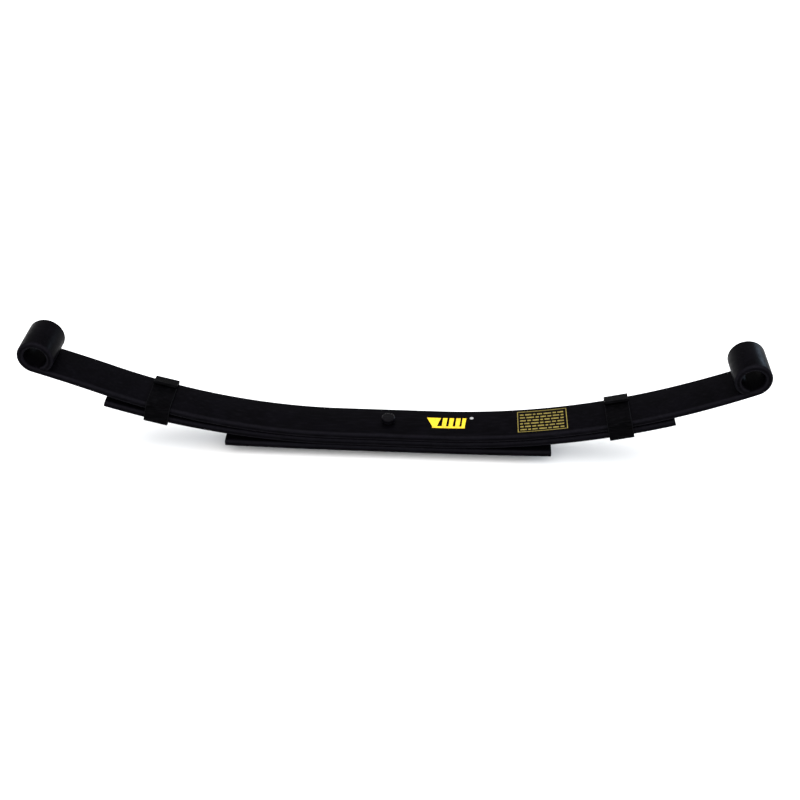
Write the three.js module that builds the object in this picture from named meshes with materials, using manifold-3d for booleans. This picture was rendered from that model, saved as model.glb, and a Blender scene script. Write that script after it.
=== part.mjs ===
// Leaf spring for a light vehicle: three leaves clamped by a centre bolt, an upturned eye rolled on
// each end of the main leaf, and two rebound clips riveted to the second leaf.
//
// Millimetres and radians. +Z is up, X runs along the spring and Y across it. The origin is on the
// axis of the centre bolt, at the bolt's lower end, which is the lowest point of the free spring.

import * as THREE from 'three';
import { mergeVertices } from 'three/addons/utils/BufferGeometryUtils.js';
import Module from 'manifold-3d';

// Bar that the three leaves are cut from.
const barWidth = 60;
const barThickness = 10;
const barEdgeRadius = 4;

// Every leaf is flat in the middle, where the axle is clamped.
const seatHalfLength = 65;

// Main leaf: an arc on each arm, then a gentler bend out to the eye, where the bar is drawn down to
// the eye's wall. Distances are along the leaf, and a positive turn is upwards.
const mainArmRadius = { left: 843, right: 937 };
const mainArcEnd = { left: 385, right: 402 };
const eyeApproachTurn = { left: -0.051, right: 0.075 };
const eyeDistance = { left: 477.4, right: 487.4 };
const eyeBoreRadius = 15;
const eyeWall = 9;
const eyeRoll = (325 / 180) * Math.PI;
const eyeTipGap = 0.5;

// Second leaf: flatter than the main leaf, so that a gap opens between them towards the tips.
const secondReach = 377;
const secondTipGap = { left: 8.7, right: 2.5 };

// Overload leaf: nearly straight, and only loaded once the second leaf comes down on it.
const overloadArmRadius = 6540;
const overloadReach = 220;

// Centre bolt with a round locating head, and its nut.
const boltRadius = 5;
const boltHeadRadius = 9;
const boltHeadHeight = 8;
const boltHeadRounding = 2;
const boltBelowNut = 3;
const boltEndChamfer = 1;
const nutAcrossFlats = 17;
const nutHeight = 8;
const nutChamfer = 0.8;

// Rebound clips: a strap round both long leaves, its two ears bent over the main leaf.
const clipDistance = 309;
const strapWidth = 32;
const strapThickness = 3.5;
const strapEdgeRadius = 0.8;
const strapInnerBend = 4;
const clipSideClearance = 0.8;
const clipTopClearance = 0.5;
const frontEarTip = 12;
const backEarTip = 7;
const earLift = 1;

// Clip rivets: countersunk into the second leaf, with a button head under the clip.
const rivetRadius = 4;
const rivetSinkRadius = 6.5;
const rivetSinkDepth = 2.5;
const rivetButtonRadius = 7;
const rivetButtonHeight = 4;

// Clearances: between faces that bear on each other, and round a shank in its hole.
const contactGap = 0.3;
const holeClearance = 0.3;

// Facets.
const leafArcSteps = 12;
const eyeApproachSteps = 4;
const eyeSteps = 24;
const bendSteps = 5;
const roundSegments = 32;
const domeSteps = 5;

// Heights of the leaves' middle planes over the seat, worked up from the end of the bolt.
const leafPitch = barThickness + contactGap;
const nutTop = boltBelowNut + nutHeight;
const overloadHeight = nutTop + contactGap + barThickness / 2;
const secondHeight = overloadHeight + leafPitch;
const mainHeight = secondHeight + leafPitch;
const seatTop = mainHeight + barThickness / 2;

const halfTurn = Math.PI;
const quarterTurn = Math.PI / 2;

const wasm = await Module();
wasm.setup();

// ---- Solids: from a three.js geometry to manifold-3d and back ----

function toSolid(geometry) {
  const bare = geometry.clone();
  bare.deleteAttribute('normal');
  bare.deleteAttribute('uv');
  const merged = mergeVertices(bare, 1e-4);
  const mesh = new wasm.Mesh({
    numProp: 3,
    vertProperties: new Float32Array(merged.attributes.position.array),
    triVerts: new Uint32Array(merged.index.array),
  });
  return new wasm.Manifold(mesh);
}

function toGeometry(solid) {
  const mesh = solid.getMesh();
  const geometry = new THREE.BufferGeometry();
  geometry.setAttribute('position', new THREE.BufferAttribute(mesh.vertProperties, 3));
  geometry.setIndex(new THREE.BufferAttribute(mesh.triVerts, 1));
  geometry.computeVertexNormals();
  return geometry;
}

// ---- Bent bars: a section swept along a centreline in the XZ plane ----

// Walks outwards from x = 0 and returns the stations of one arm: place and slope of the centreline.
// A piece with a turn is an arc of that length, and one without is straight.
function walk(pieces, height = 0) {
  const stations = [{ x: 0, z: height, slope: 0 }];
  for (const { length, turn = 0, steps = 1 } of pieces) {
    const start = stations.at(-1);
    for (let i = 1; i <= steps; i++) {
      const slope = start.slope + (turn * i) / steps;
      const chord = turn === 0 ? length : (2 * length * Math.sin((slope - start.slope) / 2)) / turn;
      const heading = (start.slope + slope) / 2;
      stations.push({
        x: start.x + chord * Math.cos(heading),
        z: start.z + chord * Math.sin(heading),
        slope,
      });
    }
  }
  return stations;
}

function arc(radius, turn, steps) {
  return { length: radius * turn, turn, steps };
}

// Joins two arms at x = 0, with the left one mirrored.
function joinArms(left, right) {
  const mirrored = left.slice(1).map((station) => ({ ...station, x: -station.x, slope: -station.slope }));
  return [...mirrored.reverse(), ...right];
}

function roundedSection(width, thickness, radius) {
  const x = width / 2 - radius;
  const y = thickness / 2 - radius;
  const section = new THREE.Shape();
  section.absarc(x, y, radius, 0, quarterTurn);
  section.absarc(-x, y, radius, quarterTurn, halfTurn);
  section.absarc(-x, -y, radius, halfTurn, halfTurn + quarterTurn);
  section.absarc(x, -y, radius, halfTurn + quarterTurn, 2 * halfTurn);
  section.closePath();
  return section;
}

// Extrudes the section one unit per station, then moves each ring of points to its station. The
// share is how much of the bar's thickness is left there.
function sweep(section, stations) {
  const steps = stations.length - 1;
  const settings = { depth: steps, steps, curveSegments: 2, bevelEnabled: false };
  const geometry = new THREE.ExtrudeGeometry(section, settings);
  const position = geometry.attributes.position;
  for (let i = 0; i < position.count; i++) {
    const { x, z, slope, share = 1 } = stations[Math.round(position.getZ(i))];
    const across = position.getX(i);
    const up = position.getY(i) * share;
    position.setXYZ(i, x - up * Math.sin(slope), across, z + up * Math.cos(slope));
  }
  geometry.computeVertexNormals();
  return geometry;
}

// ---- Round pieces, on the Z axis ----

function turned(profile) {
  const points = profile.map(([radius, height]) => new THREE.Vector2(radius, height));
  return new THREE.LatheGeometry(points, roundSegments).rotateX(quarterTurn);
}

function cylinder(radius, bottom, top) {
  return turned([[0, bottom], [radius, bottom], [radius, top], [0, top]]);
}

// Points of a quarter circle in a profile, from its side to its top.
function roundedCorner(radius, top, rounding, steps) {
  return Array.from({ length: steps + 1 }, (_, i) => {
    const angle = (quarterTurn * i) / steps;
    return [radius - rounding * (1 - Math.cos(angle)), top - rounding * (1 - Math.sin(angle))];
  });
}

// ---- Leaves ----

const leafSection = roundedSection(barWidth, barThickness, barEdgeRadius);

// The eye is rolled upwards round its bore. Where the roll meets the leaf again, its outer face is
// cut away so that a thin tip lies just above the leaf.
function eyeStations(start) {
  const outerRadius = eyeBoreRadius + eyeWall;
  const middleRadius = eyeBoreRadius + eyeWall / 2;
  const centreX = start.x - middleRadius * Math.sin(start.slope);
  const centreZ = start.z + middleRadius * Math.cos(start.slope);
  return Array.from({ length: eyeSteps }, (_, i) => {
    const turn = (eyeRoll * (i + 1)) / eyeSteps;
    const onLastQuarter = turn > halfTurn + quarterTurn;
    const toLeaf = onLastQuarter ? (eyeBoreRadius - eyeTipGap) / Math.cos(turn) : Infinity;
    const thickness = Math.min(outerRadius, toLeaf) - eyeBoreRadius;
    const radius = eyeBoreRadius + thickness / 2;
    const slope = start.slope + turn;
    return {
      x: centreX + radius * Math.sin(slope),
      z: centreZ - radius * Math.cos(slope),
      slope,
      share: thickness / barThickness,
    };
  });
}

function mainArm(side) {
  const radius = mainArmRadius[side];
  const arcEnd = mainArcEnd[side];
  const arm = walk([
    { length: seatHalfLength },
    arc(radius, (arcEnd - seatHalfLength) / radius, leafArcSteps),
    { length: eyeDistance[side] - arcEnd, turn: eyeApproachTurn[side], steps: eyeApproachSteps },
  ], mainHeight);
  arm.slice(-eyeApproachSteps).forEach((station, i) => {
    const drawn = (i + 1) / eyeApproachSteps;
    station.share = THREE.MathUtils.lerp(1, eyeWall / barThickness, drawn);
  });
  return [...arm, ...eyeStations(arm.at(-1))];
}

// An arm that is one arc from the seat out to its cut end.
function plainArm(radius, reach, height) {
  const turn = Math.asin((reach - seatHalfLength) / radius);
  return walk([{ length: seatHalfLength }, arc(radius, turn, leafArcSteps)], height);
}

// Height of an arm's middle plane, and its slope, at a distance out from the bolt.
function armAt(stations, x) {
  const next = stations.findIndex((station) => station.x >= x);
  const inner = stations[next - 1];
  const outer = stations[next];
  const share = (x - inner.x) / (outer.x - inner.x);
  return {
    z: THREE.MathUtils.lerp(inner.z, outer.z, share),
    slope: THREE.MathUtils.lerp(inner.slope, outer.slope, share),
  };
}

// Radius that brings the tip of a second-leaf arm up to its gap below the main leaf.
function secondArmRadius(side) {
  const main = armAt(mainArm(side), secondReach);
  const mainUnderside = main.z - barThickness / 2 / Math.cos(main.slope);
  const rise = mainUnderside - secondTipGap[side] - (secondHeight + barThickness / 2);
  const run = secondReach - seatHalfLength;
  return (run ** 2 + rise ** 2) / (2 * rise) + barThickness / 2;
}

function leafSolid(left, right) {
  const bar = toSolid(sweep(leafSection, joinArms(left, right)));
  const hole = toSolid(cylinder(boltRadius + holeClearance, 0, seatTop + boltHeadHeight));
  return bar.subtract(hole);
}

// ---- Clip places: where each clip sits on the second leaf, and how high the main leaf is there ----

function pointOnArm(radius, height, distance) {
  const slope = Math.asin((distance - seatHalfLength) / radius);
  return { x: distance, z: height + radius * (1 - Math.cos(slope)), slope };
}

// Along the second leaf's normal at the clip, the distance from its middle plane to the main leaf's.
function clipPlace(side) {
  const seat = pointOnArm(secondArmRadius(side), secondHeight, clipDistance);
  const radius = mainArmRadius[side];
  const toCentre = { x: seatHalfLength - seat.x, z: mainHeight + radius - seat.z };
  const normal = { x: -Math.sin(seat.slope), z: Math.cos(seat.slope) };
  const along = toCentre.x * normal.x + toCentre.z * normal.z;
  const aside = toCentre.x * normal.z - toCentre.z * normal.x;
  const toMain = along - Math.sqrt(radius ** 2 - aside ** 2);
  const mainSlope = pointOnArm(radius, mainHeight, clipDistance).slope - seat.slope;
  const sign = side === 'left' ? -1 : 1;
  return { ...seat, x: sign * seat.x, slope: sign * seat.slope, toMain, mainSlope };
}

function clipFrame(side) {
  const { x, z, slope } = clipPlace(side);
  const frame = new THREE.Group();
  frame.position.set(x, 0, z);
  frame.rotation.y = -slope;
  return frame;
}

// ---- Rebound clip, in the frame of its place: x along the leaf, z off the second leaf's middle ----

const strapMiddle = strapInnerBend + strapThickness / 2;
const clipInnerHalf = barWidth / 2 + clipSideClearance;
const clipFloor = -barThickness / 2 - contactGap;
const clipBaseFlat = clipInnerHalf - strapInnerBend;

function clipArm(wall, ear, bend) {
  return walk([
    { length: clipBaseFlat },
    arc(strapMiddle, quarterTurn, bendSteps),
    { length: wall },
    arc(strapMiddle, bend, bendSteps),
    { length: ear },
  ], clipFloor - strapThickness / 2);
}

// The front ear lies flat on the main leaf. The back ear is bent over the tip of the front one.
function clipGeometry(side) {
  const { toMain, mainSlope } = clipPlace(side);
  const unevenness = (strapWidth / 2) * Math.tan(Math.abs(mainSlope));
  const ceiling = toMain + barThickness / 2 + unevenness + clipTopClearance;
  const wall = ceiling - clipFloor - 2 * strapInnerBend;
  const climb = Math.atan((strapThickness + earLift) / (clipBaseFlat - frontEarTip));
  const front = clipArm(wall, clipBaseFlat + frontEarTip, quarterTurn);
  const back = clipArm(wall, (clipBaseFlat - backEarTip) / Math.cos(climb), quarterTurn - climb);
  const section = roundedSection(strapWidth, strapThickness, strapEdgeRadius);
  return sweep(section, joinArms(front, back)).rotateZ(quarterTurn);
}

function clipSolid(side) {
  const bottom = clipFloor - 2 * strapThickness;
  const hole = toSolid(cylinder(rivetRadius + holeClearance, bottom, 0));
  return toSolid(clipGeometry(side)).subtract(hole);
}

// ---- Clip rivet, in the same frame ----

const rivetTop = barThickness / 2 - contactGap;
const rivetButtonTop = clipFloor - strapThickness - contactGap;

function rivetGeometry() {
  const buttonBottom = rivetButtonTop - rivetButtonHeight;
  const dome = Array.from({ length: domeSteps }, (_, i) => {
    const angle = (quarterTurn * i) / domeSteps;
    return [rivetButtonRadius * Math.cos(angle), rivetButtonTop - rivetButtonHeight * Math.sin(angle)];
  });
  return turned([
    [0, buttonBottom],
    ...dome.reverse(),
    [rivetRadius, rivetButtonTop],
    [rivetRadius, rivetTop - rivetSinkDepth],
    [rivetSinkRadius, rivetTop],
    [0, rivetTop],
  ]);
}

// Hole for the rivet through the second leaf, opening into the countersink.
function rivetHole() {
  const radius = rivetRadius + holeClearance;
  const mouth = barThickness / 2;
  const slant = (rivetSinkRadius - rivetRadius) / rivetSinkDepth;
  const mouthRadius = rivetSinkRadius + holeClearance * slant + holeClearance;
  return turned([
    [0, -barThickness],
    [radius, -barThickness],
    [radius, mouth - contactGap - rivetSinkDepth],
    [mouthRadius, mouth],
    [mouthRadius, barThickness],
    [0, barThickness],
  ]);
}

function secondLeafSolid() {
  const left = plainArm(secondArmRadius('left'), secondReach, secondHeight);
  const right = plainArm(secondArmRadius('right'), secondReach, secondHeight);
  let leaf = leafSolid(left, right);
  for (const side of ['left', 'right']) {
    const frame = clipFrame(side);
    frame.updateMatrix();
    leaf = leaf.subtract(toSolid(rivetHole().applyMatrix4(frame.matrix)));
  }
  return leaf;
}

// ---- Centre bolt and nut ----

function boltGeometry() {
  const headBottom = seatTop + contactGap;
  const headTop = headBottom + boltHeadHeight;
  return turned([
    [0, 0],
    [boltRadius - boltEndChamfer, 0],
    [boltRadius, boltEndChamfer],
    [boltRadius, headBottom],
    [boltHeadRadius, headBottom],
    ...roundedCorner(boltHeadRadius, headTop, boltHeadRounding, domeSteps),
    [0, headTop],
  ]);
}

function nutSolid() {
  const cornerRadius = nutAcrossFlats / 2 / Math.cos(halfTurn / 6);
  const hexagon = new THREE.Shape();
  for (let i = 0; i < 6; i++) {
    const angle = (i * halfTurn) / 3;
    const corner = [cornerRadius * Math.cos(angle), cornerRadius * Math.sin(angle)];
    i === 0 ? hexagon.moveTo(...corner) : hexagon.lineTo(...corner);
  }
  hexagon.closePath();
  const prism = new THREE.ExtrudeGeometry(hexagon, { depth: nutHeight, bevelEnabled: false });
  const chamfered = turned([
    [0, 0],
    [nutAcrossFlats / 2, 0],
    [cornerRadius, nutChamfer],
    [cornerRadius, nutHeight - nutChamfer],
    [nutAcrossFlats / 2, nutHeight],
    [0, nutHeight],
  ]);
  const bore = cylinder(boltRadius + holeClearance, -nutHeight, 2 * nutHeight);
  const nut = toSolid(prism).intersect(toSolid(chamfered)).subtract(toSolid(bore));
  return nut.translate([0, 0, boltBelowNut]);
}

// ---- Assembly ----

const enamel = new THREE.MeshStandardMaterial({ color: 0x131216, roughness: 0.38 });

function part(name, geometry) {
  const mesh = new THREE.Mesh(geometry, enamel);
  mesh.name = name;
  return mesh;
}

const overloadArm = plainArm(overloadArmRadius, overloadReach, overloadHeight);

const group = new THREE.Group();
group.add(
  part('main_leaf', toGeometry(leafSolid(mainArm('left'), mainArm('right')))),
  part('second_leaf', toGeometry(secondLeafSolid())),
  part('overload_leaf', toGeometry(leafSolid(overloadArm, overloadArm))),
  part('centre_bolt', boltGeometry()),
  part('centre_nut', toGeometry(nutSolid())),
);

for (const side of ['left', 'right']) {
  const frame = clipFrame(side);
  frame.add(
    part(`${side}_rebound_clip`, toGeometry(clipSolid(side))),
    part(`${side}_clip_rivet`, rivetGeometry()),
  );
  group.add(frame);
}

export default group;
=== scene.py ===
"""The looks of a leaf spring: three enamelled leaves, rolled eyes, rebound clips and a centre bolt.

Metres, in the frame of the CAD model: +X runs along the spring, Y across it and +Z up, with the
origin at the lower end of the centre bolt.
"""

import math

import bmesh
import bpy
from mathutils import Matrix, Vector


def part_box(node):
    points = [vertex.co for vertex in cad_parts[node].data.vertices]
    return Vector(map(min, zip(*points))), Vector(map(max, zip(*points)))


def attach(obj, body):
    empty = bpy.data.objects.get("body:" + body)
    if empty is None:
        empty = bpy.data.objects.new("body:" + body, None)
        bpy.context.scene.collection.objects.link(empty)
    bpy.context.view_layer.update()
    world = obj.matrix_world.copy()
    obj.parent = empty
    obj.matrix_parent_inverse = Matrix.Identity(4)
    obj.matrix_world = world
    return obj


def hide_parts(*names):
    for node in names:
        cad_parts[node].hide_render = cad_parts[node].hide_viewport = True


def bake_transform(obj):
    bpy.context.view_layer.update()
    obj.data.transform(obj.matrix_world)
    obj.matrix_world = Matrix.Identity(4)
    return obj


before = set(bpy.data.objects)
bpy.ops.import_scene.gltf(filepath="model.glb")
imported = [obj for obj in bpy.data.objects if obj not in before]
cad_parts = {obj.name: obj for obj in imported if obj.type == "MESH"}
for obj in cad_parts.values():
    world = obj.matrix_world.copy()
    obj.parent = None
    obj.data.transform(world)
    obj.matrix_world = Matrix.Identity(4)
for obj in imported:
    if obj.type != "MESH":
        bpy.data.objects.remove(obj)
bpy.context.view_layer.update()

# ---- Sizes ----

MM = 0.001
QUARTER = math.pi / 2
SIDES = {"left": -1, "right": 1}

BAR_WIDTH = 60 * MM
BAR_THICKNESS = 10 * MM
BAR_EDGE_RADIUS = 4 * MM
CUT_EDGE_RADIUS = 0.9 * MM
SEAT_HALF_LENGTH = 65 * MM

MAIN_RADIUS = {"left": 843 * MM, "right": 937 * MM}
MAIN_ARC_END = {"left": 385 * MM, "right": 402 * MM}
EYE_APPROACH_TURN = {"left": -0.051, "right": 0.075}
EYE_DISTANCE = {"left": 477.4 * MM, "right": 487.4 * MM}
EYE_BORE_RADIUS = 15 * MM
EYE_WALL = 9 * MM
EYE_ROLL = math.radians(325)
EYE_TIP_GAP = 0.5 * MM

SECOND_REACH = 377 * MM
SECOND_TIP_GAP = {"left": 8.7 * MM, "right": 2.5 * MM}

OVERLOAD_RADIUS = 6540 * MM
OVERLOAD_REACH = 220 * MM

BOLT_RADIUS = 5 * MM
BOLT_HEAD_RADIUS = 9 * MM
BOLT_HEAD_ROUNDING = 2 * MM
BOLT_HEAD_FOOT_ROUNDING = 0.4 * MM
BOLT_END_CHAMFER = 1 * MM
THREAD_LENGTH = 13 * MM
THREAD_PITCH = 1.5 * MM
THREAD_DEPTH = 0.8 * MM
NUT_SIDES = 6
NUT_ACROSS_FLATS = 17 * MM
NUT_CHAMFER = 0.8 * MM
NUT_EDGE_RADIUS = 0.3 * MM

CLIP_DISTANCE = 309 * MM
STRAP_WIDTH = 32 * MM
STRAP_THICKNESS = 3.5 * MM
STRAP_EDGE_RADIUS = 0.8 * MM
STRAP_INNER_BEND = 4 * MM
CLIP_SIDE_CLEARANCE = 0.8 * MM
CLIP_TOP_CLEARANCE = 0.5 * MM
FRONT_EAR_TIP = 12 * MM
BACK_EAR_TIP = 7 * MM
EAR_LIFT = 1 * MM

RIVET_RADIUS = 4 * MM
RIVET_SINK_RADIUS = 6.5 * MM
RIVET_SINK_DEPTH = 2.5 * MM
RIVET_BUTTON_RADIUS = 7 * MM
RIVET_BUTTON_HEIGHT = 4 * MM

CONTACT_GAP = 0.3 * MM
HOLE_CLEARANCE = 0.3 * MM

# Paint on the right arm's upper face, as places along and across the leaf. PAINT_FACES says how
# far the film's two faces stand off the enamel.
PAINT_THICKNESS = 0.06 * MM
PAINT_FACES = (0.1 * PAINT_THICKNESS, 1.1 * PAINT_THICKNESS)
MARK_FAR_EDGE = 11.8 * MM
MARK_NEAR_EDGE = -10.4 * MM
MARK_BASE_LINE = 4 * MM
MARK_SLANT = 7.5 * MM
MARK_BAR_SLANT = -1.5 * MM
LABEL_START = 174 * MM
LABEL_END = 239.5 * MM
LABEL_HALF_WIDTH = 22.3 * MM
LABEL_LINE = 1.1 * MM
LABEL_START_MARGIN = 3.5 * MM
LABEL_END_MARGIN = 3 * MM
DASH_SPACE = 1.9 * MM
DOT_PLACE = (112.5 * MM, 12 * MM)
DOT_RADIUS = 2.6 * MM

# Heights of the leaves' middle planes over the flat seat, and of the seat's top.
LEAF_HEIGHT = {
    leaf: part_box(leaf)[0][2] + BAR_THICKNESS / 2
    for leaf in ("main_leaf", "second_leaf", "overload_leaf")
}
SEAT_TOP = LEAF_HEIGHT["main_leaf"] + BAR_THICKNESS / 2


# ---- Meshes ----


def mesh_object(name, vertices, faces, edge_share=None):
    """A smooth closed mesh with its faces pointing out. edge_share says how near each vertex is to an
    edge, from 0 to 1; the enamel is painted lighter there, partly as wear and partly as a painted
    highlight."""
    mesh = bpy.data.meshes.new(name)
    mesh.from_pydata(vertices, [], faces)
    if edge_share:
        layer = mesh.attributes.new("edge_share", "FLOAT", "POINT")
        layer.data.foreach_set("value", edge_share)
    work = bmesh.new()
    work.from_mesh(mesh)
    bmesh.ops.recalc_face_normals(work, faces=work.faces)
    work.to_mesh(mesh)
    work.free()
    piece = bpy.data.objects.new(name, mesh)
    bpy.context.scene.collection.objects.link(piece)
    smooth(piece)
    return piece


def smooth(piece, angle=math.radians(32)):
    mesh = piece.data
    mesh.polygons.foreach_set("use_smooth", [True] * len(mesh.polygons))
    mesh.set_sharp_from_angle(angle=angle)


def apply_modifiers(piece):
    """Replaces the piece's mesh by what its modifiers make of it."""
    graph = bpy.context.evaluated_depsgraph_get()
    made = bpy.data.meshes.new_from_object(piece.evaluated_get(graph))
    piece.modifiers.clear()
    piece.data = made


def cut(piece, tool, operation="DIFFERENCE"):
    """Cuts the piece with another mesh, which is used up."""
    modifier = piece.modifiers.new("cut", "BOOLEAN")
    modifier.object = tool
    modifier.operation = operation
    modifier.solver = "EXACT"
    apply_modifiers(piece)
    bpy.data.objects.remove(tool)
    smooth(piece)


def walk(runs, height=0.0):
    """Stations of a bent bar's centreline, outwards from x = 0. Each run is (length, turn, steps)."""
    stations = [{"x": 0.0, "z": height, "slope": 0.0}]
    for length, turn, steps in runs:
        start = stations[-1]
        for i in range(1, steps + 1):
            part = turn * i / steps
            chord = length * i / steps
            if turn:
                chord = 2 * length * math.sin(part / 2) / turn
            heading = start["slope"] + part / 2
            stations.append(
                {
                    "x": start["x"] + chord * math.cos(heading),
                    "z": start["z"] + chord * math.sin(heading),
                    "slope": start["slope"] + part,
                }
            )
    return stations


def arc(radius, turn, steps):
    return (radius * turn, turn, steps)


def mirrored(stations):
    return [{**station, "x": -station["x"], "slope": -station["slope"]} for station in stations]


def with_cut_end(stations, steps=4):
    """The last station, drawn in over a few rings so that the cut end has a rounded edge."""
    end = stations[-1]
    rings = []
    for i in range(steps + 1):
        angle = QUARTER * i / steps
        back = CUT_EDGE_RADIUS * (1 - math.sin(angle))
        rings.append(
            {
                **end,
                "x": end["x"] - back * math.cos(end["slope"]),
                "z": end["z"] - back * math.sin(end["slope"]),
                "inset": CUT_EDGE_RADIUS * (1 - math.cos(angle)),
            }
        )
    return stations[:-1] + rings


def rounded_ring(width, thickness, radius, inset=0.0, steps=6):
    """Points (across, up, edge share) round a bar's section, whose edges are rounded."""
    corner = max(radius - inset, radius / 4)
    reach_across = width / 2 - inset - corner
    reach_up = thickness / 2 - inset - corner
    ring = []
    for quarter, (side, lift) in enumerate(((1, 1), (-1, 1), (-1, -1), (1, -1))):
        for i in range(steps + 1):
            angle = QUARTER * (quarter + i / steps)
            across = side * reach_across + corner * math.cos(angle)
            up = lift * reach_up + corner * math.sin(angle)
            ring.append((across, up, math.sin(math.pi * i / steps)))
    return ring


def swept_bar(name, stations, width, thickness, radius):
    """A bar bent along the stations. A station's share is how much of the thickness is left there."""
    vertices, edge_share = [], []
    for station in stations:
        ring = rounded_ring(width, thickness, radius, station.get("inset", 0.0))
        for across, up, edge in ring:
            lift = up * station.get("share", 1.0)
            x = station["x"] - lift * math.sin(station["slope"])
            z = station["z"] + lift * math.cos(station["slope"])
            vertices.append((x, across, z))
            edge_share.append(edge)
    count = len(vertices) // len(stations)
    faces = [tuple(range(count)), tuple(range(len(vertices) - count, len(vertices)))]
    for first in range(0, len(vertices) - count, count):
        for i in range(count):
            j = (i + 1) % count
            faces.append((first + i, first + j, first + count + j, first + count + i))
    return mesh_object(name, vertices, faces, edge_share)


def turned(name, profile, segments=96, groove=None):
    """A round piece on the Z axis. The profile is (radius, height) from the bottom to the top, and
    groove gives how deep a thread is cut at a height and an angle."""
    vertices, faces = [], []
    for radius, height in profile:
        for i in range(segments):
            angle = 2 * math.pi * i / segments
            depth = groove(radius, height, angle) if groove else 0.0
            across = radius - depth
            vertices.append((across * math.cos(angle), across * math.sin(angle), height))
    for first in range(0, len(vertices) - segments, segments):
        for i in range(segments):
            j = (i + 1) % segments
            faces.append((first + i, first + j, first + segments + j, first + segments + i))
    faces.append(tuple(range(segments)))
    faces.append(tuple(range(len(vertices) - segments, len(vertices))))
    return mesh_object(name, vertices, faces)


def drill(profile, segments=96):
    """A round cutting tool, turned by half a segment so that no corner of it meets a plane of symmetry."""
    tool = turned("drill", profile, segments)
    tool.data.transform(Matrix.Rotation(math.pi / segments, 4, "Z"))
    return tool


def quarter_round(radius, top, rounding, steps=8):
    """Profile points from the side to the flat top of a piece whose top edge is rounded."""
    points = []
    for i in range(steps + 1):
        angle = QUARTER * i / steps
        across = radius - rounding * (1 - math.cos(angle))
        points.append((across, top - rounding * (1 - math.sin(angle))))
    return points


# ---- Leaves ----

SEAT_STEPS = 8
ARC_STEPS = 96


def eye_stations(start, steps=84):
    """The bar rolled upwards round the bore, its outer face cut away where it meets the leaf."""
    outer_radius = EYE_BORE_RADIUS + EYE_WALL
    middle_radius = EYE_BORE_RADIUS + EYE_WALL / 2
    centre_x = start["x"] - middle_radius * math.sin(start["slope"])
    centre_z = start["z"] + middle_radius * math.cos(start["slope"])
    stations = []
    for i in range(1, steps + 1):
        turn = EYE_ROLL * i / steps
        reach = outer_radius
        if turn > 3 * QUARTER:
            reach = min(outer_radius, (EYE_BORE_RADIUS - EYE_TIP_GAP) / math.cos(turn))
        thickness = reach - EYE_BORE_RADIUS
        radius = EYE_BORE_RADIUS + thickness / 2
        slope = start["slope"] + turn
        stations.append(
            {
                "x": centre_x + radius * math.sin(slope),
                "z": centre_z - radius * math.cos(slope),
                "slope": slope,
                "share": thickness / BAR_THICKNESS,
            }
        )
    return stations


def main_arm(side):
    """Seat, arc, and a gentler bend out to the eye, where the bar is drawn down to the eye's wall."""
    radius = MAIN_RADIUS[side]
    turn = (MAIN_ARC_END[side] - SEAT_HALF_LENGTH) / radius
    approach = EYE_DISTANCE[side] - MAIN_ARC_END[side]
    approach_steps = 24
    arm = walk(
        [
            (SEAT_HALF_LENGTH, 0, SEAT_STEPS),
            arc(radius, turn, ARC_STEPS),
            (approach, EYE_APPROACH_TURN[side], approach_steps),
        ],
        LEAF_HEIGHT["main_leaf"],
    )
    for i, station in enumerate(arm[-approach_steps:], 1):
        station["share"] = 1 - (1 - EYE_WALL / BAR_THICKNESS) * i / approach_steps
    return arm + eye_stations(arm[-1])


def plain_arm(radius, reach, height):
    turn = math.asin((reach - SEAT_HALF_LENGTH) / radius)
    runs = [(SEAT_HALF_LENGTH, 0, SEAT_STEPS), arc(radius, turn, ARC_STEPS)]
    return with_cut_end(walk(runs, height))


def second_radius(side):
    """Radius of the second leaf's arm, which ends at a set gap below the main leaf."""
    radius = MAIN_RADIUS[side]
    run = SECOND_REACH - SEAT_HALF_LENGTH
    slope = math.asin(run / radius)
    main_rise = radius * (1 - math.cos(slope))
    underside = LEAF_HEIGHT["main_leaf"] + main_rise - BAR_THICKNESS / 2 / math.cos(slope)
    tip_top = underside - SECOND_TIP_GAP[side]
    rise = tip_top - LEAF_HEIGHT["second_leaf"] - BAR_THICKNESS / 2
    return (run**2 + rise**2) / (2 * rise) + BAR_THICKNESS / 2


def leaf_bar(name, side, stations):
    """One arm of a leaf, from the middle of the seat outwards, with its half of the bolt hole."""
    if SIDES[side] < 0:
        stations = mirrored(stations)
    piece = swept_bar(name, stations, BAR_WIDTH, BAR_THICKNESS, BAR_EDGE_RADIUS)
    radius = BOLT_RADIUS + HOLE_CLEARANCE
    cut(piece, drill([(radius, 0), (radius, 2 * SEAT_TOP)]))
    return piece


def flexes(piece):
    """Bakes the piece's placement into its mesh."""
    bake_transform(piece)


# ---- Clips and their rivets ----

STRAP_MIDDLE = STRAP_INNER_BEND + STRAP_THICKNESS / 2
CLIP_BASE_FLAT = BAR_WIDTH / 2 + CLIP_SIDE_CLEARANCE - STRAP_INNER_BEND
CLIP_FLOOR = -BAR_THICKNESS / 2 - CONTACT_GAP


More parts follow.
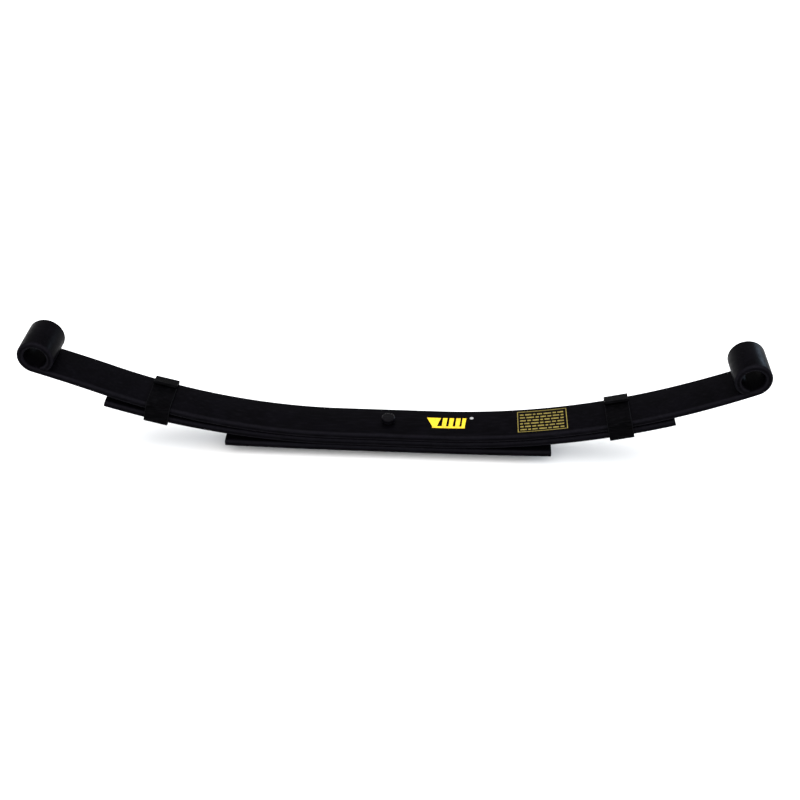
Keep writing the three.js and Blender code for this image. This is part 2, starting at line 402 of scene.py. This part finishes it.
def clip_place(side):
    """Where a clip sits on the second leaf, and how high and how steep the main leaf is there."""
    radius = second_radius(side)
    slope = math.asin((CLIP_DISTANCE - SEAT_HALF_LENGTH) / radius)
    z = LEAF_HEIGHT["second_leaf"] + radius * (1 - math.cos(slope))
    main_radius = MAIN_RADIUS[side]
    to_centre_x = SEAT_HALF_LENGTH - CLIP_DISTANCE
    to_centre_z = LEAF_HEIGHT["main_leaf"] + main_radius - z
    along = -to_centre_x * math.sin(slope) + to_centre_z * math.cos(slope)
    aside = to_centre_x * math.cos(slope) + to_centre_z * math.sin(slope)
    main_slope = math.asin((CLIP_DISTANCE - SEAT_HALF_LENGTH) / main_radius)
    return {
        "z": z,
        "slope": slope,
        "to_main": along - math.sqrt(main_radius**2 - aside**2),
        "main_slope": main_slope - slope,
    }


def clip_matrix(side):
    place = clip_place(side)
    sign = SIDES[side]
    turn = Matrix.Rotation(-sign * place["slope"], 4, "Y")
    return Matrix.Translation((sign * CLIP_DISTANCE, 0, place["z"])) @ turn


def clip_arm(wall, ear, bend):
    """Half of a strap, from the middle of its base round the bars' side to the tip of its ear."""
    flat_steps, bend_steps, ear_steps = 4, 16, 8
    runs = [
        (CLIP_BASE_FLAT, 0, flat_steps),
        arc(STRAP_MIDDLE, QUARTER, bend_steps),
        (wall, 0, flat_steps),
        arc(STRAP_MIDDLE, bend, bend_steps),
        (ear, 0, ear_steps),
    ]
    return with_cut_end(walk(runs, CLIP_FLOOR - STRAP_THICKNESS / 2))


def clip_strap(side):
    """The strap round both long leaves: the front ear lies flat, and the back ear laps its tip."""
    place = clip_place(side)
    unevenness = STRAP_WIDTH / 2 * math.tan(abs(place["main_slope"]))
    ceiling = place["to_main"] + BAR_THICKNESS / 2 + unevenness + CLIP_TOP_CLEARANCE
    wall = ceiling - CLIP_FLOOR - 2 * STRAP_INNER_BEND
    climb = math.atan((STRAP_THICKNESS + EAR_LIFT) / (CLIP_BASE_FLAT - FRONT_EAR_TIP))
    front = clip_arm(wall, CLIP_BASE_FLAT + FRONT_EAR_TIP, QUARTER)
    back = clip_arm(wall, (CLIP_BASE_FLAT - BACK_EAR_TIP) / math.cos(climb), QUARTER - climb)
    stations = mirrored(front)[:0:-1] + back
    strap = swept_bar(
        f"{side}_clip_strap", stations, STRAP_WIDTH, STRAP_THICKNESS, STRAP_EDGE_RADIUS
    )
    radius = RIVET_RADIUS + HOLE_CLEARANCE
    cut(strap, drill([(radius, 2 * CLIP_FLOOR), (radius, 0)]))
    strap.data.transform(clip_matrix(side) @ Matrix.Rotation(QUARTER, 4, "Z"))
    return strap


def clip_rivet(side):
    """A domed button under the strap, which stops just short of its pole, and a countersunk shank."""
    top = BAR_THICKNESS / 2 - CONTACT_GAP
    button_top = CLIP_FLOOR - STRAP_THICKNESS - CONTACT_GAP
    steps = 12
    dome_turn = QUARTER * 0.97
    dome = []
    for i in range(steps, -1, -1):
        angle = dome_turn * i / steps
        height = button_top - RIVET_BUTTON_HEIGHT * math.sin(angle)
        dome.append((RIVET_BUTTON_RADIUS * math.cos(angle), height))
    shank = [
        (RIVET_RADIUS, button_top),
        (RIVET_RADIUS, top - RIVET_SINK_DEPTH),
        (RIVET_SINK_RADIUS, top),
    ]
    rivet = turned(f"{side}_rivet_button", dome + shank)
    rivet.data.transform(clip_matrix(side))
    return rivet


def rivet_hole(side):
    """What is drilled and countersunk out of the second leaf for the clip's rivet."""
    radius = RIVET_RADIUS + HOLE_CLEARANCE
    mouth = BAR_THICKNESS / 2
    slant = (RIVET_SINK_RADIUS - RIVET_RADIUS) / RIVET_SINK_DEPTH
    mouth_radius = RIVET_SINK_RADIUS + HOLE_CLEARANCE * (1 + slant)
    profile = [
        (radius, -BAR_THICKNESS),
        (radius, mouth - CONTACT_GAP - RIVET_SINK_DEPTH),
        (mouth_radius, mouth),
        (mouth_radius, BAR_THICKNESS),
    ]
    hole = drill(profile)
    hole.data.transform(clip_matrix(side))
    return hole


# ---- Centre bolt and nut ----


def thread_groove(radius, height, angle):
    """Depth of a vee thread cut into the shank below THREAD_LENGTH, fading out at its end."""
    if height > THREAD_LENGTH or radius < BOLT_RADIUS - BOLT_END_CHAMFER:
        return 0.0
    turns = height / THREAD_PITCH - angle / (2 * math.pi)
    vee = 1 - abs(2 * (turns % 1) - 1)
    fade = min(1.0, (THREAD_LENGTH - height) / THREAD_PITCH)
    return THREAD_DEPTH * vee * fade * radius / BOLT_RADIUS


def centre_bolt():
    head_bottom = SEAT_TOP + CONTACT_GAP
    head_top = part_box("centre_bolt")[1][2]
    shank = []
    steps = 96
    for i in range(steps + 1):
        height = THREAD_LENGTH * i / steps
        radius = min(BOLT_RADIUS, BOLT_RADIUS - BOLT_END_CHAMFER + height)
        shank.append((radius, height))
    shank.append((BOLT_RADIUS, head_bottom))
    head = quarter_round(BOLT_HEAD_RADIUS, head_top, BOLT_HEAD_ROUNDING)
    foot = quarter_round(BOLT_HEAD_RADIUS, 0, BOLT_HEAD_FOOT_ROUNDING, steps=4)
    under = [(radius, head_bottom - height) for radius, height in reversed(foot)]
    return turned("centre_bolt_threaded", shank + under + head, groove=thread_groove)


def centre_nut():
    bottom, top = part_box("centre_nut")[0][2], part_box("centre_nut")[1][2]
    rim = NUT_ACROSS_FLATS / 2
    corner_radius = rim / math.cos(math.pi / NUT_SIDES)
    nut = turned("centre_nut_hexagon", [(corner_radius, bottom), (corner_radius, top)], NUT_SIDES)
    ends = [
        (rim, bottom),
        (corner_radius, bottom + NUT_CHAMFER),
        (corner_radius, top - NUT_CHAMFER),
        (rim, top),
    ]
    cut(nut, turned("chamfers", ends), "INTERSECT")
    bore = BOLT_RADIUS + HOLE_CLEARANCE
    cut(nut, drill([(bore, bottom - top), (bore, 2 * top)]))
    edges = nut.modifiers.new("edges", "BEVEL")
    edges.width = NUT_EDGE_RADIUS
    edges.segments = 3
    edges.limit_method = "ANGLE"
    apply_modifiers(nut)
    smooth(nut)
    return nut


# ---- Paint on the main leaf ----


def top_height(x):
    """Height of the main leaf's upper face on the right arm."""
    if x <= SEAT_HALF_LENGTH:
        return SEAT_TOP
    radius = MAIN_RADIUS["right"]
    run = x - SEAT_HALF_LENGTH
    return LEAF_HEIGHT["main_leaf"] + radius - math.sqrt((radius - BAR_THICKNESS / 2) ** 2 - run**2)


def painted_shapes(name, outlines, step=3 * MM):
    """Thin closed films of paint on the main leaf. Each outline is four corners (along, across): the
    two on the far side, then the two on the near side, both starting nearer the bolt."""
    vertices, faces = [], []
    for far_start, far_end, near_start, near_end in outlines:
        length = max(far_end[0] - far_start[0], near_end[0] - near_start[0])
        columns = max(1, math.ceil(length / step))
        first = len(vertices)
        for i in range(columns + 1):
            share = i / columns
            for start, end in ((far_start, far_end), (near_start, near_end)):
                x = start[0] + (end[0] - start[0]) * share
                y = start[1] + (end[1] - start[1]) * share
                for lift in PAINT_FACES:
                    vertices.append((x, y, top_height(x) + lift))
        for i in range(columns):
            a = first + 4 * i
            b = a + 4
            faces += [
                (a + 1, a + 3, b + 3, b + 1),
                (a, b, b + 2, a + 2),
                (a, a + 1, b + 1, b),
                (a + 2, b + 2, b + 3, a + 3),
            ]
        last = first + 4 * columns
        faces += [(first, first + 2, first + 3, first + 1), (last, last + 1, last + 3, last + 2)]
    return mesh_object(name, vertices, faces)


def upright(start, end, far, near):
    """A rectangle of paint from start to end along the leaf."""
    return ((start, far), (end, far), (start, near), (end, near))


def slanted_mark():
    """A pennant of slanted bars over a base line. The first bar is the widest and slants the most."""
    bars_mm = [(52, 71, 66), (74, 80, 78), (83, 89, 87), (92, 98, 96), (100.5, 105.5, 103.5)]
    base_top = MARK_NEAR_EDGE + MARK_BASE_LINE
    slant = MARK_SLANT
    outlines = []
    for bar in bars_mm:
        far_start, far_end, near_end = (place * MM for place in bar)
        outlines.append(
            (
                (far_start, MARK_FAR_EDGE),
                (far_end, MARK_FAR_EDGE),
                (far_start + slant, base_top),
                (near_end, base_top),
            )
        )
        slant = MARK_BAR_SLANT
    base_start = bars_mm[0][0] * MM + MARK_SLANT
    outlines.append(upright(base_start, near_end, base_top, MARK_NEAR_EDGE))
    return painted_shapes("slanted_mark", outlines)


def label_lines():
    """A frame with rows of plain dashes in it."""
    inner = LABEL_HALF_WIDTH - LABEL_LINE
    outlines = [
        upright(LABEL_START, LABEL_END, LABEL_HALF_WIDTH, inner),
        upright(LABEL_START, LABEL_END, -inner, -LABEL_HALF_WIDTH),
        upright(LABEL_START, LABEL_START + LABEL_LINE, inner, -inner),
        upright(LABEL_END - LABEL_LINE, LABEL_END, inner, -inner),
    ]
    rows = 6
    spare_rows = 0.6
    first_row = 0.75
    dash_height = 0.42
    dash_lengths_mm = (5.2, 8.4, 3.6, 6.8, 10.2, 4.4, 7.6)
    shift_per_row = 3
    pitch = 2 * inner / (rows + spare_rows)
    for row in range(rows):
        far = inner - pitch * (row + first_row)
        near = far - pitch * dash_height
        x = LABEL_START + LABEL_START_MARGIN
        count = shift_per_row * row
        length = dash_lengths_mm[count % len(dash_lengths_mm)] * MM
        while x + length <= LABEL_END - LABEL_END_MARGIN:
            outlines.append(upright(x, x + length, far, near))
            x += length + DASH_SPACE
            count += 1
            length = dash_lengths_mm[count % len(dash_lengths_mm)] * MM
    return painted_shapes("label_lines", outlines)


def paint_dot():
    segments = 32
    vertices = []
    for lift in PAINT_FACES:
        for i in range(segments):
            angle = 2 * math.pi * i / segments
            x = DOT_PLACE[0] + DOT_RADIUS * math.cos(angle)
            y = DOT_PLACE[1] + DOT_RADIUS * math.sin(angle)
            vertices.append((x, y, top_height(x) + lift))
    faces = [tuple(range(segments)), tuple(range(segments, 2 * segments))]
    for i in range(segments):
        j = (i + 1) % segments
        faces.append((i, j, segments + j, segments + i))
    return mesh_object("paint_dot", vertices, faces)


# ---- Materials ----


def node(tree, kind, inputs=None, **settings):
    """A shader node with its settings and inputs. An input is a value, or the socket that feeds it."""
    made = tree.nodes.new(kind)
    for name, value in settings.items():
        setattr(made, name, value)
    for name, value in (inputs or {}).items():
        if isinstance(value, bpy.types.NodeSocket):
            tree.links.new(value, made.inputs[name])
        else:
            made.inputs[name].default_value = value
    return made


def new_material(name):
    material = bpy.data.materials.new(name)
    material.use_nodes = True
    tree = material.node_tree
    tree.nodes.clear()
    shader = node(tree, "ShaderNodeBsdfPrincipled")
    output = node(tree, "ShaderNodeOutputMaterial")
    tree.links.new(shader.outputs["BSDF"], output.inputs["Surface"])
    return material, tree, shader


def noise(tree, place, scale, detail=4.0, roughness=0.5):
    inputs = {"Vector": place, "Scale": scale, "Detail": detail, "Roughness": roughness}
    return node(tree, "ShaderNodeTexNoise", inputs).outputs["Fac"]


def remap(tree, value, source, target):
    """The value with its source range spread over the target range, and held to its ends."""
    inputs = {
        "Value": value,
        "From Min": source[0],
        "From Max": source[1],
        "To Min": target[0],
        "To Max": target[1],
    }
    return node(tree, "ShaderNodeMapRange", inputs).outputs["Result"]


def mix_colour(tree, share, first, second):
    """The Mix node has sockets for every kind of data, so its colour sockets go by number."""
    share_input, first_input, second_input, colour_output = 0, 6, 7, 2
    inputs = {share_input: share, first_input: first, second_input: second}
    return node(tree, "ShaderNodeMix", inputs, data_type="RGBA").outputs[colour_output]


def bump(tree, height, strength, distance, under=None):
    inputs = {"Height": height, "Strength": strength, "Distance": distance}
    if under:
        inputs["Normal"] = under
    return node(tree, "ShaderNodeBump", inputs).outputs["Normal"]


def enamel(name, deep, pale, worn_and_highlight, roll_marks, shine):
    """Black enamel over steel: faint mottling, orange peel, roll marks under the paint, dust, and
    patchy, thinner paint along the edges, whose lighter tone is partly a painted highlight. The shine is
    the specular level and the mean roughness."""
    material, tree, shader = new_material(name)
    place = node(tree, "ShaderNodeTexCoord").outputs["Object"]
    stretch = node(tree, "ShaderNodeMapping", {"Vector": place, "Scale": (0.09, 1, 1)})
    along = stretch.outputs["Vector"]
    edge = node(tree, "ShaderNodeAttribute", attribute_name="edge_share").outputs["Fac"]

    mottle = remap(tree, noise(tree, place, 38, 5, 0.6), (0.35, 0.65), (0, 1))
    colour = mix_colour(tree, mottle, deep, pale)
    streaks = remap(tree, noise(tree, along, 520, 3), (0.5, 0.72), (0, 0.25))
    colour = mix_colour(tree, streaks, colour, worn_and_highlight)
    # Lighter along the rounded edges: partly patchy, thinner paint and partly a painted highlight.
    patches = remap(tree, noise(tree, place, 260, 6, 0.65), (0.2, 0.7), (0.3, 1))
    thinned = node(tree, "ShaderNodeMath", {0: edge, 1: patches}, operation="MULTIPLY")
    edge_wear_and_highlight = remap(tree, thinned.outputs["Value"], (0, 1), (0, 0.75))
    colour = mix_colour(tree, edge_wear_and_highlight, colour, worn_and_highlight)
    dust = remap(tree, noise(tree, place, 1500, 2, 0.4), (0.7, 0.76), (0, 0.5))
    colour = mix_colour(tree, dust, colour, worn_and_highlight)
    tree.links.new(colour, shader.inputs["Base Color"])

    specular_level, mean_roughness = shine
    spread = 0.09
    rough_range = (mean_roughness - spread, mean_roughness + spread)
    roughness = remap(tree, noise(tree, place, 140, 6, 0.6), (0.3, 0.7), rough_range)
    tree.links.new(roughness, shader.inputs["Roughness"])
    shader.inputs["Specular IOR Level"].default_value = specular_level

    waves = bump(tree, noise(tree, place, 26, 2), 0.25, 1.6 * MM)
    rolled = bump(tree, noise(tree, along, 640, 3), roll_marks, 0.2 * MM, waves)
    peel = bump(tree, noise(tree, place, 480, 2), 0.16, 0.22 * MM, rolled)
    tree.links.new(peel, shader.inputs["Normal"])
    return material


def marking_paint(name, fresh, faded, cover):
    """Flat stencil paint, patchy where it didn't take on the enamel. A higher cover leaves less of
    the enamel bare."""
    material, tree, shader = new_material(name)
    place = node(tree, "ShaderNodeTexCoord").outputs["Object"]
    patches = remap(tree, noise(tree, place, 320, 5, 0.6), (0.4, 0.64), (0, 1))
    colour = mix_colour(tree, patches, fresh, faded)
    bare = remap(tree, noise(tree, place, 700, 4, 0.7), (cover, cover + 0.06), (0, 1))
    bare_colour = (0.02, 0.016, 0.01, 1)
    colour = mix_colour(tree, bare, colour, bare_colour)
    tree.links.new(colour, shader.inputs["Base Color"])
    tree.links.new(remap(tree, patches, (0, 1), (0.5, 0.72)), shader.inputs["Roughness"])
    shader.inputs["Specular IOR Level"].default_value = 0.25
    grain = bump(tree, noise(tree, place, 1800, 3), 0.3, 0.06 * MM)
    tree.links.new(grain, shader.inputs["Normal"])
    return material


def floor_material():
    material, tree, shader = new_material("floor")
    place = node(tree, "ShaderNodeTexCoord").outputs["Object"]
    tone = remap(tree, noise(tree, place, 3, 3), (0.3, 0.7), (0, 1))
    colour = mix_colour(tree, tone, (0.93, 0.93, 0.93, 1), (0.95, 0.95, 0.95, 1))
    tree.links.new(colour, shader.inputs["Base Color"])
    shader.inputs["Roughness"].default_value = 0.9
    shader.inputs["Specular IOR Level"].default_value = 0.1
    return material


# ---- Building the object ----

leaf_enamel = enamel(
    "leaf_enamel",
    deep=(0.0007, 0.0006, 0.0010, 1),
    pale=(0.0013, 0.0011, 0.0019, 1),
    worn_and_highlight=(0.0075, 0.0070, 0.0095, 1),
    roll_marks=0.22,
    shine=(0.008, 0.38),
)
strap_enamel = enamel(
    "strap_enamel",
    deep=(0.0006, 0.0006, 0.0007, 1),
    pale=(0.0014, 0.0013, 0.0017, 1),
    worn_and_highlight=(0.0090, 0.0086, 0.0100, 1),
    roll_marks=0.1,
    shine=(0.004, 0.5),
)
fastener_enamel = enamel(
    "fastener_enamel",
    deep=(0.0010, 0.0009, 0.0014, 1),
    pale=(0.0021, 0.0019, 0.0028, 1),
    worn_and_highlight=(0.0120, 0.0110, 0.0150, 1),
    roll_marks=0.08,
    shine=(0.03, 0.24),
)
mark_yellow = marking_paint(
    "mark_yellow", fresh=(0.84, 0.58, 0.010, 1), faded=(0.58, 0.39, 0.012, 1), cover=0.62
)
label_yellow = marking_paint(
    "label_yellow", fresh=(0.22, 0.17, 0.024, 1), faded=(0.12, 0.092, 0.018, 1), cover=0.6
)
dot_grey = marking_paint(
    "dot_grey", fresh=(0.36, 0.36, 0.36, 1), faded=(0.24, 0.24, 0.25, 1), cover=0.64
)


def finished(piece, material):
    piece.data.materials.clear()
    piece.data.materials.append(material)
    return piece


for side in SIDES:
    main = finished(leaf_bar(f"main_leaf_{side}", side, main_arm(side)), leaf_enamel)
    second_arm = plain_arm(second_radius(side), SECOND_REACH, LEAF_HEIGHT["second_leaf"])
    second = leaf_bar(f"second_leaf_{side}", side, second_arm)
    cut(second, rivet_hole(side))
    finished(second, leaf_enamel)
    flexes(main)
    flexes(second)
    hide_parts("main_leaf")
    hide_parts("second_leaf")

    overload_arm = plain_arm(OVERLOAD_RADIUS, OVERLOAD_REACH, LEAF_HEIGHT["overload_leaf"])
    overload = leaf_bar(f"overload_leaf_{side}", side, overload_arm)
    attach(finished(overload, leaf_enamel), "leaf_pack")
    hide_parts("overload_leaf")

    strap = finished(clip_strap(side), strap_enamel)
    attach(strap, f"{side}_arm_clip")
    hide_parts(f"{side}_rebound_clip")

    rivet = finished(clip_rivet(side), fastener_enamel)
    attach(rivet, f"{side}_arm_clip")
    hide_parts(f"{side}_clip_rivet")

bolt = finished(centre_bolt(), fastener_enamel)
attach(bolt, "leaf_pack")
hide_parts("centre_bolt")

nut = finished(centre_nut(), fastener_enamel)
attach(nut, "leaf_pack")
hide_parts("centre_nut")

markings = [
    (slanted_mark(), mark_yellow),
    (label_lines(), label_yellow),
    (paint_dot(), dot_grey),
]
for marking, paint in markings:
    flexes(finished(marking, paint))

# ---- Floor, light and camera ----


def plane(name, size):
    half = size / 2
    corners = [(-half, -half, 0), (half, -half, 0), (half, half, 0), (-half, half, 0)]
    mesh = bpy.data.meshes.new(name)
    mesh.from_pydata(corners, [], [(0, 1, 2, 3)])
    made = bpy.data.objects.new(name, mesh)
    bpy.context.scene.collection.objects.link(made)
    return made


def softbox(name, place, target, width, depth, brightness, colour):
    """An area light. The brightness is the radiance of its face."""
    light = bpy.data.lights.new(name, "AREA")
    light.shape = "RECTANGLE"
    light.size = width
    light.size_y = depth
    light.energy = brightness * math.pi * width * depth
    light.color = colour
    lamp = bpy.data.objects.new(name, light)
    lamp.location = place
    lamp.rotation_euler = (Vector(target) - Vector(place)).to_track_quat("-Z", "Y").to_euler()
    bpy.context.scene.collection.objects.link(lamp)


FLOOR_SIZE = 14
SKY_BRIGHTNESS = 2.9
SKY_SPREAD = math.radians(100)
SKY_TILT = math.radians(14)
WORLD_BRIGHTNESS = 1.08

floor = plane("floor", FLOOR_SIZE)
floor.data.materials.append(floor_material())

softbox(
    "back_right",
    place=(2.3, 2.5, 0.9),
    target=(0, 0, 0.1),
    width=0.9,
    depth=0.7,
    brightness=20,
    colour=(0.58, 0.78, 1),
)

sky = bpy.data.lights.new("overhead", "SUN")
sky.energy = SKY_BRIGHTNESS
sky.angle = SKY_SPREAD
overhead = bpy.data.objects.new("overhead", sky)
overhead.rotation_euler = (SKY_TILT, 0, 0)
bpy.context.scene.collection.objects.link(overhead)

world = bpy.data.worlds.new("studio")
world.use_nodes = True
background = world.node_tree.nodes["Background"]
background.inputs["Color"].default_value = (1, 1, 1, 1)
background.inputs["Strength"].default_value = WORLD_BRIGHTNESS
bpy.context.scene.world = world

CAMERA_TARGET = Vector((0.0159, 0, 0.0788))
CAMERA_AZIMUTH = math.radians(3.21)
CAMERA_ELEVATION = math.radians(36.35)
CAMERA_DISTANCE = 1.5592
CAMERA_FOCAL_LENGTH = 52.58
CAMERA_SENSOR_WIDTH = 36

lens = bpy.data.cameras.new("camera")
lens.lens = CAMERA_FOCAL_LENGTH
lens.sensor_width = CAMERA_SENSOR_WIDTH
camera = bpy.data.objects.new("camera", lens)
away = Vector(
    (
        math.sin(CAMERA_AZIMUTH) * math.cos(CAMERA_ELEVATION),
        -math.cos(CAMERA_AZIMUTH) * math.cos(CAMERA_ELEVATION),
        math.sin(CAMERA_ELEVATION),
    )
)
camera.location = CAMERA_TARGET + away * CAMERA_DISTANCE
camera.rotation_euler = (-away).to_track_quat("-Z", "Y").to_euler()
bpy.context.scene.collection.objects.link(camera)
bpy.context.scene.camera = camera
bpy.context.scene.view_settings.view_transform = "Standard"
